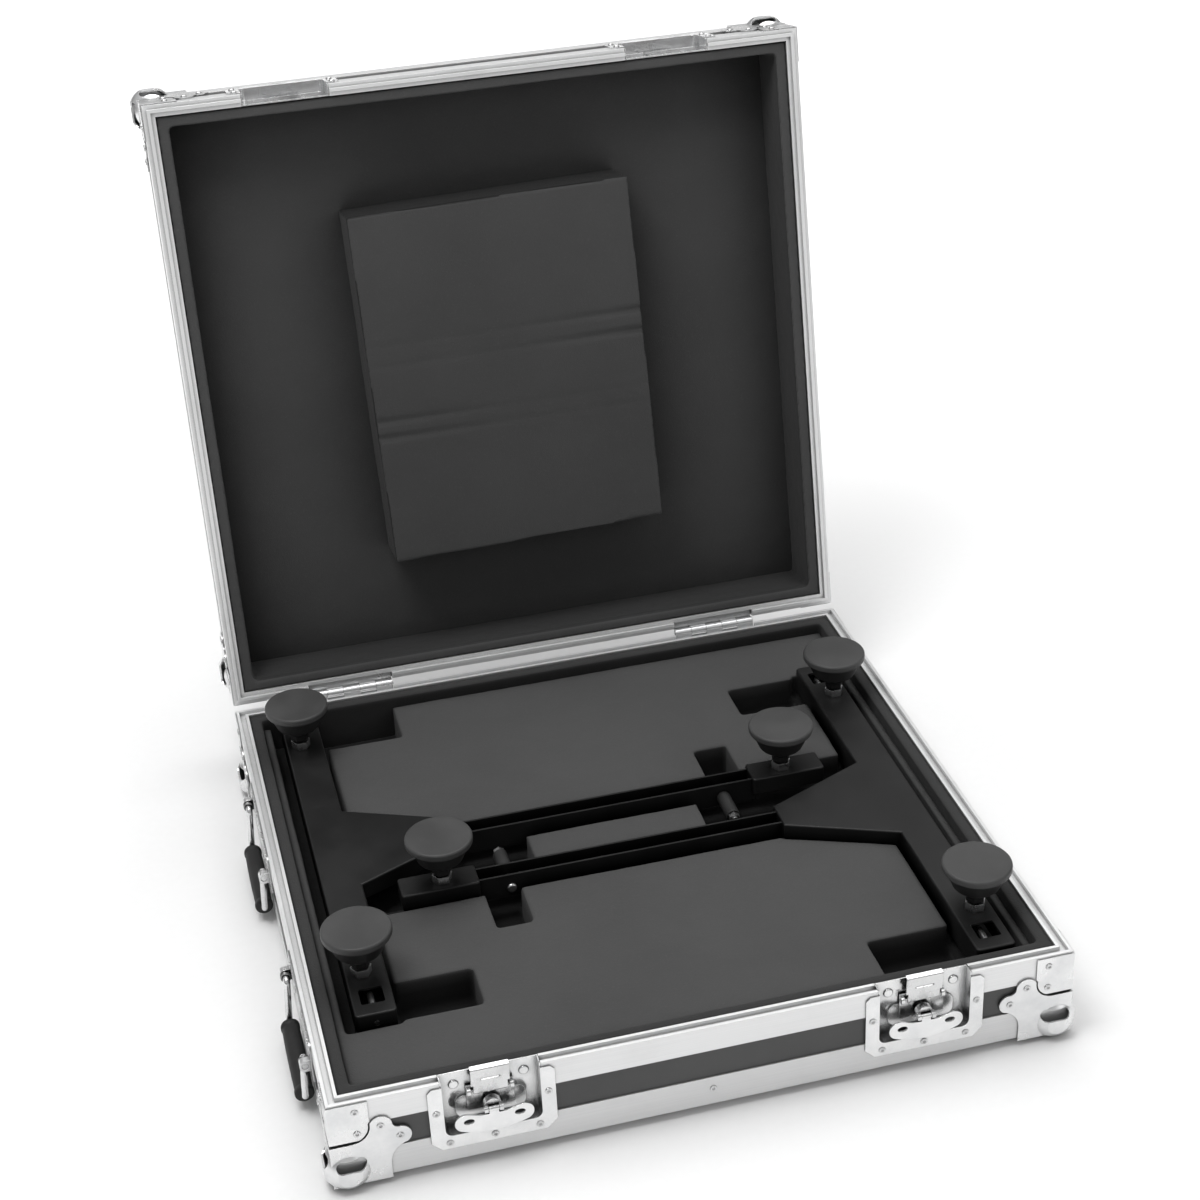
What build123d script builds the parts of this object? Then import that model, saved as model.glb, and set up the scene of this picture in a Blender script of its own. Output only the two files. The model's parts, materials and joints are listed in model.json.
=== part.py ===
"""Flight case with an open lid, holding two T-shaped display-stand bases in cut foam.

Frame: +X right, +Y back, +Z up, in millimetres. The origin is the centre of the base's
underside, at the outer face of the bottom edging. The ball corners stand below it.
Every lid piece is built in its closed place and then swung open about the hinge pins.
"""
from build123d import *
from math import radians, sin, cos
import os

# Case, outside of the aluminium edging
WIDTH = 680.0
DEPTH = 640.0
BASE_H = 90.0
LID_H = 85.0
LID_GAP = 0.3
LID_OPEN_DEG = 101.0

# Walls: aluminium skin, laminated plywood, foam lining
SKIN = 1.5
PLY = 9.0
RIM_W = 12.0
RIM_BAND = 27.0
RIM_CAP = 6.0
ANGLE_LEG = 32.0
LINING = 12.0
LINING_DROP = 1.5
GROOVE_W, GROOVE_DEEP = 6.0, 4.5
TONGUE_W, TONGUE_TALL = 3.4, 3.4

# Hinges
HINGE_X = (-213.0, 200.0)
HINGE_W = 90.0
HINGE_TAB = 7.5
PIN_R = 2.5
PIN_FIT = 0.05
KNUCKLE_R = 4.2
PIN_Y = DEPTH / 2 + 4.5
KNUCKLE_GAP = 0.3
LEAF_T = 2.0
LEAF_TALL = 44.0

# Recessed butterfly latches
LATCH_X = 198.0
DISH_W = 112.0
DISH_OPEN_W = 86.0
DISH_LOW = 16.0
DISH_OPEN_LOW = 30.0
DISH_T = 1.5
DISH_DROP = 4.5
TRAY_T = 1.2
BOSS_AT, BOSS_R = (31.0, 77.0), 4.5
KEEPER_TOP = 50.0
KEEPER_OPEN = 38.0
SPINDLE_Z = 55.0
HOOK_PIVOT_Z = 69.0
HOOK_TILT_DEG = 7.0
HOOK_DRAW = 3.0

# Corner hardware
BALL_R = 23.5
BALL_IN = 13.0
BALL_FLAT = 21.0
BALL_T = 1.8
BRACE_LEG = 35.0
BRACE_TALL, BRACE_DROP = 41.0, 2.0
BRACE_T = 1.5
BRACE_CLEAR = 1.5

# Rivets
RIVET_HEAD_R, RIVET_HEAD_H = 3.2, 1.2
RIVET_R, RIVET_LONG = 1.6, 5.0
DIMPLE_R, DIMPLE_DEEP = 1.7, 1.1
ANGLE_RIVET_Z = 19.0

# Sprung bail handles, two on each end wall
HANDLE_Y = (122.0, -162.0)
BAIL_R = 3.25
BAIL_PIVOT = (7.0, 60.0)
BAIL_GRIP = (10.0, 11.4)
GRIP_R, GRIP_LONG = 9.0, 97.0
BAIL_HALF = 53.0
LUG_Y = (62.0, 68.0)
HANDLE_PLATE = (144.0, 44.0)

# Foam
FOAM_TOP = 76.5
FLOOR_Z = SKIN + PLY
FOAM_FIT = 0.2
LID_FLOOR = 62.0
BLOCK_X, BLOCK_Y = 149.5, 187.0
BLOCK_TURN_DEG = 1.1
POCKET_FLOOR = 50.0
FINGER_FLOOR = 40.0

# Stand bases: T of a crossbar, a gusset and an arm, stowed with the feet up
ARM_Y = 40.0
STAND_TOP = 89.0
SHEET = 2.5
BAR_X = (259.0, 297.0)
BAR_HALF = 253.0
BAR_DEEP = 28.0
GUSSET_WIDE, GUSSET_NARROW = 65.0, 17.0
GUSSET_X = 155.0
GUSSET_DEEP = 18.0
ARM_HALF_W = 10.0
ARM_TOP = 87.0
ARM_LOW = 62.0
ARM_SHEET = 2.0
END_X = (150.0, 226.0)
END_HALF_W = 15.0
FOOT_BAR_X = 281.5
FOOT_SPREAD = 193.0
FOOT_ARM_X = 184.0
WINDOW = 22.0
WINDOW_AT = 227.0
PIN_AT_X, PIN_AT_Z = 119.0, 72.0
PIN_BOLT_R, PIN_HEAD_R, PIN_HEAD_H = 3.0, 5.0, 3.0
PIN_NUT_AF, PIN_NUT_TALL = 10.0, 5.0
SPACER_R, SPACER_LONG = 7.0, 35.0
END_SCREW_R, END_SCREW_Z = 3.0, 78.0
END_SCREW_SUNK = 0.8

# Levelling feet
PAD_R = 32.5
PAD_TOP = 141.0
PAD_T = 8.0
CONE_TALL = (9.0, 17.0)
CONE_R = (11.0, 22.0, 29.0)
FOOT_HEX_AF, FOOT_HEX_TALL = 16.0, 8.0
STUD_R = 5.0
NUT_AF = 17.0
NUT_TALL = 8.0

HALF_W, HALF_D = WIDTH / 2, DEPTH / 2
LID_Z = BASE_H + LID_GAP
LID_TOP = LID_Z + LID_H
SIDES = (-1, 1)


# ---------------------------------------------------------------- helpers
def block(x, y, z):
    """A box between two limits on each axis."""
    low = [min(p) for p in (x, y, z)]
    size = [abs(p[1] - p[0]) for p in (x, y, z)]
    return Pos(*low) * Box(*size, align=(Align.MIN,) * 3)


def rod(start, end, r):
    """A cylinder from one point to another."""
    along = Vector(*end) - Vector(*start)
    place = Plane(origin=start, z_dir=along)
    return place.location * Cylinder(r, along.length, align=(Align.CENTER, Align.CENTER, Align.MIN))


def plate(outline, plane, thick):
    """A closed 2-D outline laid on a plane and thickened along its normal."""
    return extrude(plane * outline, amount=thick)


def mitred_ring(profile, z=0):
    """Four lengths with mitred ends round the case; the profile is (inward distance, height)."""
    ring = []
    for length, away, turn in ((WIDTH, HALF_D, 0), (DEPTH, HALF_W, 90)):
        points = [(-length / 2, u - away, z + h) for u, h in profile]
        bar = extrude(make_face(Polyline(*points, close=True)), amount=length, dir=(1, 0, 0))
        for side in SIDES:
            mitre = Plane(origin=(side * length / 2, -away, 0), z_dir=(-side, -1, 0))
            bar = split(bar, bisect_by=mitre, keep=Keep.TOP)
        bar = Rot(0, 0, turn) * bar
        ring += [bar, mirror(bar, about=Plane.XZ if turn == 0 else Plane.YZ)]
    return ring


def four_corners(piece):
    """A piece built at the front left corner, repeated at all four."""
    front = [piece, mirror(piece, about=Plane.YZ)]
    return front + [mirror(p, about=Plane.XZ) for p in front]


def to_lid(pieces):
    """Base hardware turned upside down into the closed lid's place."""
    flip = Plane(origin=(0, 0, LID_TOP / 2), z_dir=(0, 0, 1))
    return [mirror(p, about=flip) for p in pieces]


def swing(piece, degrees=LID_OPEN_DEG):
    """A closed lid piece turned open about the hinge pins."""
    return piece.rotate(Axis((0, PIN_Y, BASE_H), (1, 0, 0)), -degrees)


def turned(piece):
    """The same stand piece on the other stand, half a turn about the case's middle."""
    return Rot(0, 0, 180) * piece


def cut(pieces, tools):
    """Each piece less the tools that reach it."""
    out = []
    for piece in pieces:
        box = piece.bounding_box()
        near = [t for t in tools if box.overlaps(t.bounding_box(), 0.01)]
        out.append(piece - near if near else piece)
    return out


NODES = {}


def keep(name, *pieces):
    """Name a node; it is written once every hole is cut."""
    NODES[name] = list(pieces)


# ---------------------------------------------------------------- rivets
def rivet(at, out):
    """A domed blind rivet with its head on a surface, facing out, dimpled by its mandrel."""
    head = Cylinder(RIVET_HEAD_R, RIVET_HEAD_H, align=(Align.CENTER, Align.CENTER, Align.MIN))
    head = fillet(head.edges().sort_by(Axis.Z)[-1:], 1.0)
    head -= Pos(0, 0, RIVET_HEAD_H + DIMPLE_R - DIMPLE_DEEP) * Sphere(DIMPLE_R)
    shank = Cylinder(RIVET_R, RIVET_LONG, align=(Align.CENTER, Align.CENTER, Align.MAX))
    return Plane(origin=at, z_dir=out).location * (head + shank)


def shank_hole(at, out):
    """The room a rivet's shank takes."""
    drill = Cylinder(RIVET_R, RIVET_LONG, align=(Align.CENTER, Align.CENTER, Align.MAX))
    return Plane(origin=at, z_dir=out).location * drill


# ---------------------------------------------------------------- corner hardware
LOBES = ((44.0, 59.0), (60.0, 44.0))
BRACE_RIVETS = ((23.5, 55.0), (23.5, 79.0))
SLOT_AT = ((15.5, 23.0), (15.5, 23.0), (19.0, 19.0))


def lobed_flange():
    """One face of a ball corner: two riveted lobes above a foot, from the case's corner."""
    edge = [
        Line((-BALL_T, -BALL_T), (50, -BALL_T)),
        Line((50, -BALL_T), (50, 15)),
        ThreePointArc((50, 15), (54.5, 28.5), (66, 36)),
        ThreePointArc((66, 36), (69.8, 46), (61.5, 53.9)),
        ThreePointArc((61.5, 53.9), (56, 55.4), (53.9, 60.5)),
        ThreePointArc((53.9, 60.5), (46, 68.8), (34.9, 63)),
        ThreePointArc((34.9, 63), (30.5, 49.5), (19, 44)),
        Line((19, 44), (-BALL_T, 44)),
        Line((-BALL_T, 44), (-BALL_T, -BALL_T)),
    ]
    return make_face(Wire(edge))


CORNER = (-HALF_W, -HALF_D, 0.0)
OUTWARD = ((0, -1, 0), (-1, 0, 0), (0, 0, -1))


FLANGE_PLANES = (
    Plane(origin=CORNER, x_dir=(1, 0, 0), z_dir=(0, -1, 0)),
    Plane(origin=CORNER, x_dir=(0, 1, 0), z_dir=(1, 0, 0)),
    Plane(origin=CORNER, x_dir=(0, 1, 0), z_dir=(0, 0, -1)),
)


def corner_face(index, a, b, out=0.0):
    """A point on one face at the front left corner, at distances a and b from it."""
    x, y, z = CORNER
    return ((x + a, y - out, z + b), (x - out, y + a, z + b), (x + b, y + a, z - out))[index]


def ball_shape(inset):
    """The corner's ball with a flat on each side, or the hollow inside it."""
    x, y, z = CORNER
    side = 2 * (BALL_FLAT - inset)
    return Pos(x + BALL_IN, y + BALL_IN, z + BALL_IN) * (Sphere(BALL_R - inset) & Box(side, side, side))


def ball_corner():
    """A pressed steel corner with a hollow ball and three riveted, slotted flanges."""
    flat = extrude(lobed_flange(), amount=BALL_T, both=True)
    x, y, z = CORNER
    shell = ball_shape(0)
    for face in FLANGE_PLANES:
        shell += face.location * flat
    shell -= ball_shape(BALL_T)
    shell -= block((x, 0), (y, 0), (z, BASE_H))
    slot = extrude(SlotOverall(27, 11), amount=12, both=True)
    for index, along in enumerate(((1, 0, 0), (0, 1, 0), (1, 1, 0))):
        at = corner_face(index, *SLOT_AT[index], 12)
        shell -= Plane(origin=at, x_dir=along, z_dir=OUTWARD[index]).location * slot
    return max(shell.solids(), key=lambda s: s.volume)


def corner_trim():
    """The sliver of the case's corner that the hollow ball has no room for."""
    x, y, z = CORNER
    cube = block((x - 1, x + BALL_IN), (y - 1, y + BALL_IN), (z - 1, z + BALL_IN))
    return cube - ball_shape(BALL_T + 0.3)


def rim_brace(height):
    """A folded plate round a vertical corner, notched to clear the ball corner's lobes."""
    x, y, _ = CORNER
    t = BRACE_T
    high = height - BRACE_DROP
    low = high - BRACE_TALL
    angle = block((x - t, x + BRACE_LEG), (y - t, y), (low, high))
    angle += block((x - t, x), (y - t, y + BRACE_LEG), (low, high))
    fold = [e for e in angle.edges().filter_by(Axis.Z)
            if e.center().X < x - t + 0.01 and e.center().Y < y - t + 0.01]
    angle = fillet(fold, 1.2)
    room = extrude(offset(lobed_flange(), amount=BRACE_CLEAR), amount=2 * BALL_T, both=True)
    angle -= [face.location * room for face in FLANGE_PLANES[:2]]
    return max(angle.solids(), key=lambda s: s.volume)


def corner_rivet_places():
    """Where the rivets of one front left corner go: point and outward direction."""
    places = [(corner_face(i, a, b, BALL_T), OUTWARD[i]) for i in range(3) for a, b in LOBES]
    places += [(corner_face(i, *at, BRACE_T), OUTWARD[i]) for i in range(2) for at in BRACE_RIVETS]
    return places


# ---------------------------------------------------------------- shell
def rim_profile(groove):
    """Lid-location edging seen end on: a cap over the panel with two flanges."""
    mid = RIM_W / 2
    half = GROOVE_W / 2 if groove else TONGUE_W / 2
    rise = -GROOVE_DEEP if groove else TONGUE_TALL
    cap = BASE_H - RIM_CAP
    return [
        (0, BASE_H), (mid - half, BASE_H), (mid - half, BASE_H + rise),
        (mid + half, BASE_H + rise), (mid + half, BASE_H), (RIM_W, BASE_H),
        (RIM_W, BASE_H - 24), (RIM_W - SKIN, BASE_H - 24), (RIM_W - SKIN, cap),
        (SKIN, cap), (SKIN, BASE_H - RIM_BAND), (0, BASE_H - RIM_BAND),
    ]


def edge_profile():
    """Bottom edging: an equal angle with a rounded heel."""
    return [(0, 1.2), (1.2, 0), (ANGLE_LEG, 0), (ANGLE_LEG, SKIN), (SKIN, SKIN),
            (SKIN, ANGLE_LEG), (0, ANGLE_LEG)]


def wall_panels(top):
    """Floor, front, rear and end panels of laminated plywood, standing on the floor panel."""
    out_x, out_y = HALF_W - SKIN, HALF_D - SKIN
    in_x, in_y = out_x - PLY, out_y - PLY
    floor = block((-out_x, out_x), (-out_y, out_y), (SKIN, FLOOR_Z))
    front = block((-out_x, out_x), (-out_y, -in_y), (FLOOR_Z, top))
    rear = mirror(front, about=Plane.XZ)
    ends = [block((s * out_x, s * in_x), (-in_y, in_y), (FLOOR_Z, top)) for s in SIDES]
    return floor, front, rear, ends


def lining(low, high):
    """Foam strips inside the four walls."""
    out_x, out_y = HALF_W - RIM_W, HALF_D - RIM_W
    strips = [block((-out_x, out_x), (s * out_y, s * (out_y - LINING)), (low, high)) for s in SIDES]
    inner = out_y - LINING
    return strips + [block((s * out_x, s * (out_x - LINING)), (-inner, inner), (low, high))
                     for s in SIDES]


def latch_openings(low, high):
    """Room through the front wall for the two latch trays."""
    half = DISH_OPEN_W / 2 + TRAY_T + 0.2
    return [block((s * LATCH_X - half, s * LATCH_X + half),
                  (-HALF_D - 1, -HALF_D + RIM_W), (low, high)) for s in SIDES]


def hinge_notches(low, high):
    """Room in the rear rim for the hinge leaves' folded tabs."""
    half = HINGE_W / 2 + 1
    return [block((x - half, x + half), (HALF_D - HINGE_TAB - 0.4, HALF_D + 1), (low, high))
            for x in HINGE_X]


# ---------------------------------------------------------------- hinges
def hinge_leaf():
    """Base leaf: a plate on the rear wall, a tab over the rim and three knuckles."""
    y = HALF_D
    tab_top = BASE_H - RIM_CAP + 1.5
    half = HINGE_W / 2
    leaf = block((-half, half), (y, y + LEAF_T), (tab_top - LEAF_TALL, tab_top))
    leaf = fillet(leaf.edges().filter_by(Axis.Y).sort_by(Axis.Z)[:2], 8)
    leaf += block((-half, half), (y - HINGE_TAB, y + 1), (tab_top - 1.5, tab_top))
    for low, high in ((-half, -27), (-9, 9), (27, half)):
        leaf += block((low, high), (y, y + 3), (tab_top - 1, BASE_H - 0.2))
        leaf += rod((low, PIN_Y, BASE_H), (high, PIN_Y, BASE_H), KNUCKLE_R)
    return leaf - rod((-half - 1, PIN_Y, BASE_H), (half + 1, PIN_Y, BASE_H), PIN_R)


def lid_hinge_leaf():
    """Lid leaf: the base leaf upside down, with two knuckles between the base's three."""
    y = HALF_D
    tab_low = LID_Z + RIM_CAP - 1.5
    half = HINGE_W / 2
    leaf = block((-half, half), (y, y + LEAF_T), (tab_low, tab_low + LEAF_TALL))
    leaf = fillet(leaf.edges().filter_by(Axis.Y).sort_by(Axis.Z)[-2:], 8)
    leaf += block((-half, half), (y - HINGE_TAB, y + 1), (tab_low, tab_low + 1.5))
    for low, high in ((-27, -9), (9, 27)):
        low, high = low + KNUCKLE_GAP, high - KNUCKLE_GAP
        leaf += block((low, high), (y, y + 3), (LID_Z, tab_low + 1))
        leaf += rod((low, PIN_Y, BASE_H), (high, PIN_Y, BASE_H), KNUCKLE_R)
    return leaf - rod((-half - 1, PIN_Y, BASE_H), (half + 1, PIN_Y, BASE_H), PIN_R + PIN_FIT)


def hinge_pin():
    """A plain pin, held tight in the base leaf and free in the lid leaf."""
    half = HINGE_W / 2 + 1
    pin = rod((-half, PIN_Y, BASE_H), (half, PIN_Y, BASE_H), PIN_R)
    return chamfer(pin.edges().filter_by(GeomType.CIRCLE), 0.5)


HINGE_RIVETS = [(x, z) for x in (-32.0, 32.0) for z in (52.0, 72.0)]


# ---------------------------------------------------------------- latches
FACE_Y = -HALF_D
TRAY_BACK = FACE_Y + RIM_W - 0.2
TRAY_FLOOR = TRAY_BACK - TRAY_T


def latch_dish(low, open_low, top, bevel):
    """A pressed dish: a flange on the wall and an open-ended tray let into it."""
    half, opening = DISH_W / 2, DISH_OPEN_W / 2
    high = top - DISH_DROP
    outline = Polygon((-half + 4, high), (-half, high - 4), (-half, low + bevel),
                      (-half + bevel, low), (half - bevel, low), (half, low + bevel),
                      (half, high - 4), (half - 4, high), align=None)
    flange = plate(outline, Plane(origin=(0, FACE_Y, 0), x_dir=(1, 0, 0), z_dir=(0, -1, 0)), DISH_T)
    t = TRAY_T
    tray = block((-opening - t, opening + t), (FACE_Y, TRAY_BACK), (open_low - t, top))
    dish = flange + tray
    hollow = block((-opening, opening), (FACE_Y - DISH_T - 1, TRAY_FLOOR), (open_low, top + 1))
    lower = [e for e in hollow.edges().filter_by(Axis.Y) if abs(e.center().Z - open_low) < 0.1]
    return dish - fillet(lower, 7)


def tray_boss(side):
    """One of the two domed rivets on the back wall of the base's tray."""
    x, z = side * BOSS_AT[0], BOSS_AT[1]
    boss = rod((x, TRAY_FLOOR + 0.1, z), (x, TRAY_FLOOR - 1.6, z), BOSS_R)
    return fillet(boss.edges().filter_by(GeomType.CIRCLE).sort_by(Axis.Y)[:1], 1.2)


def latch_seat():
    """A thick seat plate that the spindle turns in."""
    seat = block((-31, 31), (TRAY_FLOOR - 1.6, TRAY_FLOOR), (SPINDLE_Z - 16, SPINDLE_Z + 8))
    seat = fillet(seat.edges().filter_by(Axis.Y), 8)
    return seat - rod((0, TRAY_FLOOR - 3, SPINDLE_Z), (0, TRAY_FLOOR + 1, SPINDLE_Z), 4.05)


WING_Y = FACE_Y - 4.8
WING_T = 1.8
WING_PIN_R = 1.5


def latch_spindle():
    """Turning post with a boss and two ears that hold the wing's cross pin."""
    z = SPINDLE_Z
    post = rod((0, TRAY_FLOOR - 0.2, z), (0, FACE_Y + 4, z), 4.0)
    post += rod((0, FACE_Y + 4.4, z), (0, FACE_Y - 2.2, z), 7.8)
    for s in SIDES:
        ear = block((s * 5, s * 8.5), (FACE_Y - 1.8, WING_Y - 2.4), (z - 3.4, z + 2.6))
        ear = fillet(ear.edges().filter_by(Axis.X).sort_by(Axis.Y)[:2], 2.2)
        post += ear
    return post - rod((-10, WING_Y, z), (10, WING_Y, z), WING_PIN_R + PIN_FIT)


def latch_wing():
    """Butterfly wing hanging from its cross pin, with a finger hole near each tip."""
    z = SPINDLE_Z
    face = Plane(origin=(0, WING_Y + WING_T / 2, z), x_dir=(1, 0, 0), z_dir=(0, -1, 0))
    edge = [
        ThreePointArc((-24, -1.5), (-35, -11), (-29, -19)),
        ThreePointArc((-29, -19), (0, -24.5), (29, -19)),
        ThreePointArc((29, -19), (35, -11), (24, -1.5)),
        Line((24, -1.5), (12, -5)),
        Line((12, -5), (-12, -5)),
        Line((-12, -5), (-24, -1.5)),
    ]
    body = make_face(Wire(edge)) + Pos(0, -3) * Rectangle(8.6, 6)
    for s in SIDES:
        body -= Pos(s * 22.5, -9.5) * Ellipse(4.8, 3.0)
    wing = plate(body, face, WING_T)
    wing += rod((-4.6, WING_Y, z), (4.6, WING_Y, z), 2.2)
    return wing + rod((-8.4, WING_Y, z), (8.4, WING_Y, z), WING_PIN_R)


def latch_slider():
    """Draw plate that the spindle's cam pulls down, with two lugs for the hook's pin."""
    front = TRAY_FLOOR - 3.2
    slider = block((-21, 21), (front, front + 1.4), (SPINDLE_Z - 8, HOOK_PIVOT_Z + 5))
    slot = SlotOverall(8.5 + HOOK_DRAW + 0.4, 8.5, rotation=90)
    room = Plane(origin=(0, front - 1, SPINDLE_Z + HOOK_DRAW / 2), x_dir=(1, 0, 0), z_dir=(0, 1, 0))
    slider -= plate(slot, room, 4)
    for s in SIDES:
        lug = block((s * 17.4, s * 20.6), (front - 5, front), (HOOK_PIVOT_Z - 3.5, HOOK_PIVOT_Z + 3.5))
        slider += fillet(lug.edges().filter_by(Axis.X).sort_by(Axis.Y)[:2], 2.5)
    pin_y = front - 2.6
    return slider - rod((-22, pin_y, HOOK_PIVOT_Z), (22, pin_y, HOOK_PIVOT_Z), 1.5 + PIN_FIT)


HOOK_PIN_Y = TRAY_FLOOR - 3.2 - 2.6
HOOK_LIP_Z = BASE_H + 5.4
HOOK_HALF = 17.0


def latch_hook():
    """Claw that reaches over the keeper, on its pin, tilted out as it is with the latch free."""
    y, z = HOOK_PIN_Y, HOOK_PIVOT_Z
    half = HOOK_HALF
    claw = rod((-half + 2, y, z), (half - 2, y, z), 2.2)
    claw += rod((-20.5, y, z), (20.5, y, z), 1.5)
    claw += block((-half + 2, half - 2), (y - 2.2, y - 0.2), (z, z + 12))
    claw += block((-half, half), (y - 2.2, y - 0.2), (z + 9, HOOK_LIP_Z + 2))
    claw += block((-half, half), (y - 2.2, y + 3.4), (HOOK_LIP_Z, HOOK_LIP_Z + 2))
    bend = [e for e in claw.edges().filter_by(Axis.X)
            if e.center().Z > HOOK_LIP_Z + 1.9 and e.center().Y < y - 2.1]
    claw = fillet(bend, 1.4)
    window = Plane(origin=(0, y + 2, z + 16), x_dir=(1, 0, 0), z_dir=(0, -1, 0))
    claw -= plate(SlotOverall(18, 2.6), window, 6)
    return claw.rotate(Axis((0, y, z), (1, 0, 0)), HOOK_TILT_DEG)


def keeper_bar():
    """Bar in the lid's dish that the claw pulls down on."""
    low = LID_Z + 0.2
    bar = block((-19, 19), (TRAY_FLOOR - 1.4, TRAY_FLOOR), (low, low + 28))
    bar = fillet(bar.edges().filter_by(Axis.Y).sort_by(Axis.Z)[-2:], 6)
    return bar + block((-15.5, 15.5), (TRAY_FLOOR - 4.0, TRAY_FLOOR - 1), (low, low + 1.6))


DISH_RIVETS = ((-49.5, 58.0), (49.5, 58.0), (-40.0, 22.5), (40.0, 22.5), (0.0, 22.5))
KEEPER_RIVETS = [(x, z) for x in (-49.5, 49.5) for z in (LID_Z + 12, LID_Z + 36)]


# ---------------------------------------------------------------- handles
def handle_plate():
    """Left wall mounting plate with a lug at each end for the bail."""
    x = -HALF_W
    long, tall = HANDLE_PLATE
    px, pz = BAIL_PIVOT
    base = block((x - 1.8, x), (-long / 2, long / 2), (BASE_H - 6 - tall, BASE_H - 6))
    base = fillet(base.edges().filter_by(Axis.X), 7)
    for s in SIDES:
        near, far = (s * y for y in LUG_Y)
        lug = block((x - px - 5, x - 1), (near, far), (pz - 6, pz + 6))
        base += fillet(lug.edges().filter_by(Axis.Y).sort_by(Axis.X)[:2], 4.5)
    end = LUG_Y[1] + 1
    base -= rod((x - px, -end, pz), (x - px, end, pz), BAIL_R + PIN_FIT)
    return base


def handle_spring():
    """A short coil round the bail's stub, between arm and lug."""
    low, high = BAIL_HALF + BAIL_R + 1.3, LUG_Y[0] - 1.1
    coil = Helix(pitch=(high - low) / 3, height=high - low, radius=BAIL_R + 1.2)
    ring = Plane(origin=coil @ 0, z_dir=coil % 0) * Circle(0.6)
    spring = sweep(ring, path=coil, is_frenet=True)
    px, pz = BAIL_PIVOT
    return Plane(origin=(-HALF_W - px, low, pz), z_dir=(0, 1, 0)).location * spring


def bail():
    """A bent rod: stubs in the lugs, two arms and the grip's core."""
    x = -HALF_W
    (px, pz), (gx, gz) = BAIL_PIVOT, BAIL_GRIP
    end = LUG_Y[1] - 0.4
    corners = [(x - px, -end, pz), (x - px, -BAIL_HALF, pz), (x - gx, -BAIL_HALF, gz),
               (x - gx, BAIL_HALF, gz), (x - px, BAIL_HALF, pz), (x - px, end, pz)]
    path = FilletPolyline(*corners, radius=4.0)
    ring = Plane(origin=path @ 0, z_dir=path % 0) * Circle(BAIL_R)
    return sweep(ring, path=path)


def grip():
    """A moulded rubber sleeve on the bail."""
    gx, gz = BAIL_GRIP
    y = GRIP_LONG / 2
    start, end = (-HALF_W - gx, -y, gz), (-HALF_W - gx, y, gz)
    sleeve = rod(start, end, GRIP_R)
    sleeve = fillet(sleeve.edges().filter_by(GeomType.CIRCLE), 1.8)
    return sleeve - rod(start, end, BAIL_R + PIN_FIT)


HANDLE_RIVETS = [(y, 77.0) for y in (-54.0, -18.0, 18.0, 54.0)]


# ---------------------------------------------------------------- stands
def inverted_tray(outline, top, deep):
    """A sheet tray with its open side down and rounded top edges."""
    solid = extrude(Pos(0, 0, top - deep) * outline, amount=deep)
    upper = solid.faces().sort_by(Axis.Z)[-1].edges()
    solid = fillet(upper, 1.8)
    inner = offset(outline, amount=-SHEET, kind=Kind.INTERSECTION)
    return solid - extrude(Pos(0, 0, top - deep - 1) * inner, amount=deep + 1 - SHEET)


def gusset_outline(grow=0.0):
    """Trapezoid from the crossbar down to the arm, on the left stand."""
    bar = -BAR_X[0]
    wide, narrow = GUSSET_WIDE + grow, GUSSET_NARROW + grow
    return Polygon((bar - 4, ARM_Y - wide), (-GUSSET_X + grow, ARM_Y - narrow),
                   (-GUSSET_X + grow, ARM_Y + narrow), (bar - 4, ARM_Y + wide), align=None)


def bar_outline():
    """The crossbar's outline on the left stand."""
    width = BAR_X[1] - BAR_X[0]
    middle = -(BAR_X[0] + BAR_X[1]) / 2
    return Pos(middle, ARM_Y) * RectangleRounded(width, 2 * BAR_HALF, 4)


def end_outline():
    """The outline of the bracket at the arm's free end."""
    low, high = END_X
    return Pos((low + high) / 2, ARM_Y) * RectangleRounded(high - low, 2 * END_HALF_W, 3)


def arm():
    """An open channel from under the gusset to the end bracket."""
    y_low, y_high = ARM_Y - ARM_HALF_W, ARM_Y + ARM_HALF_W
    outer = block((-BAR_X[0], END_X[0] + 3), (y_low, y_high), (ARM_LOW, ARM_TOP))
    hollow = block((-BAR_X[0] - 1, END_X[0] + 4), (y_low + ARM_SHEET, y_high - ARM_SHEET),
                   (ARM_LOW + ARM_SHEET, ARM_TOP + 1))
    return outer - hollow


def stand_feet():
    """Where the left stand's three feet stand."""
    return [(-FOOT_BAR_X, ARM_Y + FOOT_SPREAD), (-FOOT_BAR_X, ARM_Y - FOOT_SPREAD),
            (FOOT_ARM_X, ARM_Y)]


def stand_frame():
    """The left stand: crossbar, gusset, arm and end bracket welded into one."""
    gusset = inverted_tray(gusset_outline(), STAND_TOP, GUSSET_DEEP)
    gusset -= block((-BAR_X[1], -BAR_X[0] - SHEET), (-200, 200), (0, STAND_TOP - SHEET))
    frame = inverted_tray(bar_outline(), STAND_TOP, BAR_DEEP) + gusset
    frame += arm()
    frame += inverted_tray(end_outline(), STAND_TOP, GUSSET_DEEP)
    middle = -(BAR_X[0] + BAR_X[1]) / 2
    for s in SIDES:
        window = Pos(middle, ARM_Y + s * WINDOW_AT) * RectangleRounded(WINDOW, WINDOW, 2)
        frame -= extrude(Pos(0, 0, STAND_TOP - 6) * window, amount=10)
    for x, y in stand_feet():
        frame -= rod((x, y, STAND_TOP - 6), (x, y, STAND_TOP + 1), STUD_R + 0.3)
    frame -= rod((PIN_AT_X, 0, PIN_AT_Z), (PIN_AT_X, 100, PIN_AT_Z), PIN_BOLT_R)
    for s in SIDES:
        wall = ARM_Y + s * BAR_HALF
        frame -= rod((middle, wall - 4, END_SCREW_Z), (middle, wall + 4, END_SCREW_Z), END_SCREW_R)
    return frame


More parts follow.
